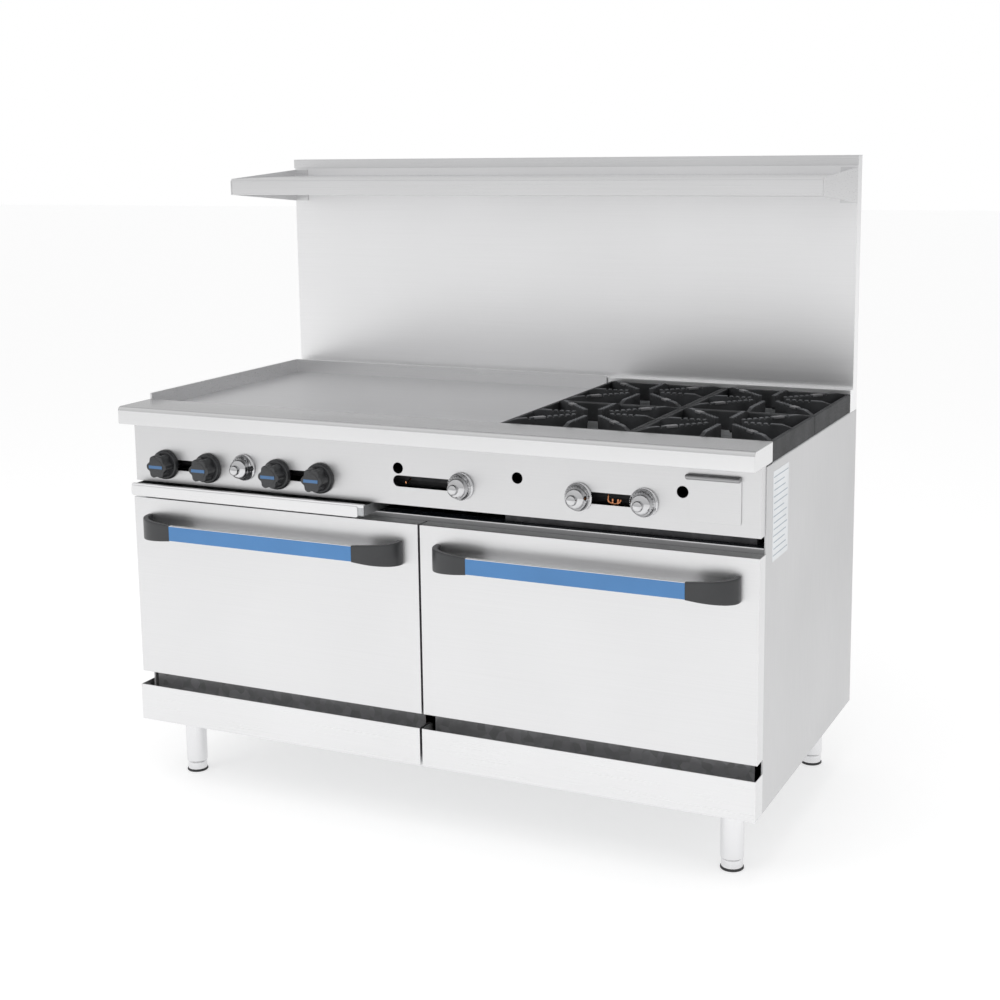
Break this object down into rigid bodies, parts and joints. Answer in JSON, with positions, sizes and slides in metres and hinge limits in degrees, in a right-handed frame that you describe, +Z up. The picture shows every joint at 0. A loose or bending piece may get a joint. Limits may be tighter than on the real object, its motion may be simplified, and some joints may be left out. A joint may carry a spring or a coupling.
{
  "type": "commercial gas range",
  "caption": "Commercial gas range with a griddle, open burners under cast grates, two ovens with drop-down doors, slide-out drip trays, a back guard and a high shelf.",
  "frame": {"origin": "on the floor, under the middle of the range's box from the back to the door handles", "axes": "+X to the right of someone facing the doors, +Y to the back, +Z up"},
  "size_m": [1.524, 0.843, 1.471],
  "materials": {
    "polished_steel": "bright brushed stainless sheet",
    "side_sheet": "satin grey sheet",
    "galvanised_steel": "dull galvanised sheet",
    "oven_enamel": "dark porcelain enamel",
    "iron_pipe": "dark iron pipe",
    "griddle_steel": "ground smooth steel plate",
    "cast_iron": "sand cast, matte black",
    "knob_plastic": "dark grey moulded, satin",
    "dial_chrome": "polished chrome",
    "handle_blue": "satin blue enamel",
    "handle_plastic": "dark grey moulded, satin",
    "rack_wire": "bright nickel wire",
    "foot_rubber": "black moulded foot"
  },
  "bodies": {
    "root": {"side_panel_left": "side_sheet", "side_panel_right": "side_sheet", "back_panel": "galvanised_steel", "base_pan": "galvanised_steel", "kick_panel_left": "polished_steel", "kick_panel_right": "polished_steel", "oven_liner_left": "oven_enamel", "oven_liner_right": "oven_enamel", "oven_burner_left": "iron_pipe", "oven_burner_right": "iron_pipe", "control_panel": "polished_steel", "service_cover": "polished_steel", "front_rail": "polished_steel", "griddle_plate": "griddle_steel", "griddle_splash": "polished_steel", "griddle_burner": "iron_pipe", "burner_deck": "galvanised_steel", "open_burner_1": "cast_iron", "open_burner_2": "cast_iron", "open_burner_3": "cast_iron", "open_burner_4": "cast_iron", "gas_manifold": "iron_pipe", "back_guard": "polished_steel", "shelf": "polished_steel", "shelf_bracket_left": "polished_steel", "shelf_bracket_right": "polished_steel", "leg_front_left": "polished_steel", "leg_front_right": "polished_steel", "leg_rear_left": "polished_steel", "leg_rear_right": "polished_steel", "foot_front_left": "foot_rubber", "foot_front_right": "foot_rubber", "foot_rear_left": "foot_rubber", "foot_rear_right": "foot_rubber"},
    "door_left": {"door_skin_left": "polished_steel", "door_liner_left": "oven_enamel", "handle_bar_left": "handle_blue", "handle_cap_left_left": "handle_plastic", "handle_cap_left_right": "handle_plastic"},
    "door_right": {"door_skin_right": "polished_steel", "door_liner_right": "oven_enamel", "handle_bar_right": "handle_blue", "handle_cap_right_left": "handle_plastic", "handle_cap_right_right": "handle_plastic"},
    "rack_left": {"oven_rack_left": "rack_wire"},
    "rack_right": {"oven_rack_right": "rack_wire"},
    "tray_left": {"drip_tray_left": "polished_steel"},
    "tray_right": {"drip_tray_right": "galvanised_steel"},
    "knob_1": {"burner_knob_1": "knob_plastic"},
    "knob_2": {"burner_knob_2": "knob_plastic"},
    "knob_3": {"burner_knob_3": "knob_plastic"},
    "knob_4": {"burner_knob_4": "knob_plastic"},
    "dial_1": {"thermostat_dial_1": "dial_chrome"},
    "dial_2": {"thermostat_dial_2": "dial_chrome"},
    "dial_3": {"thermostat_dial_3": "dial_chrome"},
    "dial_4": {"thermostat_dial_4": "dial_chrome"},
    "grate_1": {"burner_grate_1": "cast_iron"},
    "grate_2": {"burner_grate_2": "cast_iron"},
    "grate_3": {"burner_grate_3": "cast_iron"},
    "grate_4": {"burner_grate_4": "cast_iron"}
  },
  "joints": [
    {"name": "door_left_hinge", "type": "hinge", "parent": "root", "child": "door_left", "pos_m": [-0.38225, -0.3415, 0.2745], "axis": [1, 0, 0], "range_deg": [0, 90], "stiffness_Nm_per_rad": 12, "springref_deg": -20.05},
    {"name": "door_right_hinge", "type": "hinge", "parent": "root", "child": "door_right", "pos_m": [0.38225, -0.3415, 0.2745], "axis": [1, 0, 0], "range_deg": [0, 90], "stiffness_Nm_per_rad": 12, "springref_deg": -20.05},
    {"name": "rack_left_slide", "type": "slide", "parent": "root", "child": "rack_left", "axis": [0, -1, 0], "range_m": [0, 0.06]},
    {"name": "rack_right_slide", "type": "slide", "parent": "root", "child": "rack_right", "axis": [0, -1, 0], "range_m": [0, 0.06]},
    {"name": "tray_left_slide", "type": "slide", "parent": "root", "child": "tray_left", "axis": [0, -1, 0], "range_m": [0, 0.4]},
    {"name": "tray_right_slide", "type": "slide", "parent": "root", "child": "tray_right", "axis": [0, -1, 0], "range_m": [0, 0.4]},
    {"name": "knob_1_turn", "type": "hinge", "parent": "root", "child": "knob_1", "pos_m": [-0.672, -0.3555, 0.781], "axis": [0, -1, 0], "range_deg": [0, 90]},
    {"name": "knob_2_turn", "type": "hinge", "parent": "root", "child": "knob_2", "pos_m": [-0.553, -0.3555, 0.781], "axis": [0, -1, 0], "range_deg": [0, 90]},
    {"name": "knob_3_turn", "type": "hinge", "parent": "root", "child": "knob_3", "pos_m": [-0.364, -0.3555, 0.781], "axis": [0, -1, 0], "range_deg": [0, 90]},
    {"name": "knob_4_turn", "type": "hinge", "parent": "root", "child": "knob_4", "pos_m": [-0.251, -0.3555, 0.781], "axis": [0, -1, 0], "range_deg": [0, 90]},
    {"name": "dial_1_turn", "type": "hinge", "parent": "root", "child": "dial_1", "pos_m": [-0.454, -0.3555, 0.79], "axis": [0, -1, 0], "range_deg": [0, 270]},
    {"name": "dial_2_turn", "type": "hinge", "parent": "root", "child": "dial_2", "pos_m": [0.1, -0.3555, 0.79], "axis": [0, -1, 0], "range_deg": [0, 270]},
    {"name": "dial_3_turn", "type": "hinge", "parent": "root", "child": "dial_3", "pos_m": [0.372, -0.3555, 0.79], "axis": [0, -1, 0], "range_deg": [0, 270]},
    {"name": "dial_4_turn", "type": "hinge", "parent": "root", "child": "dial_4", "pos_m": [0.516, -0.3555, 0.79], "axis": [0, -1, 0], "range_deg": [0, 270]},
    {"name": "grate_1_lift", "type": "slide", "parent": "root", "child": "grate_1", "axis": [0, 0, 1], "range_m": [0, 0.1]},
    {"name": "grate_2_lift", "type": "slide", "parent": "root", "child": "grate_2", "axis": [0, 0, 1], "range_m": [0, 0.1]},
    {"name": "grate_3_lift", "type": "slide", "parent": "root", "child": "grate_3", "axis": [0, 0, 1], "range_m": [0, 0.1]},
    {"name": "grate_4_lift", "type": "slide", "parent": "root", "child": "grate_4", "axis": [0, 0, 1], "range_m": [0, 0.1]}
  ]
}
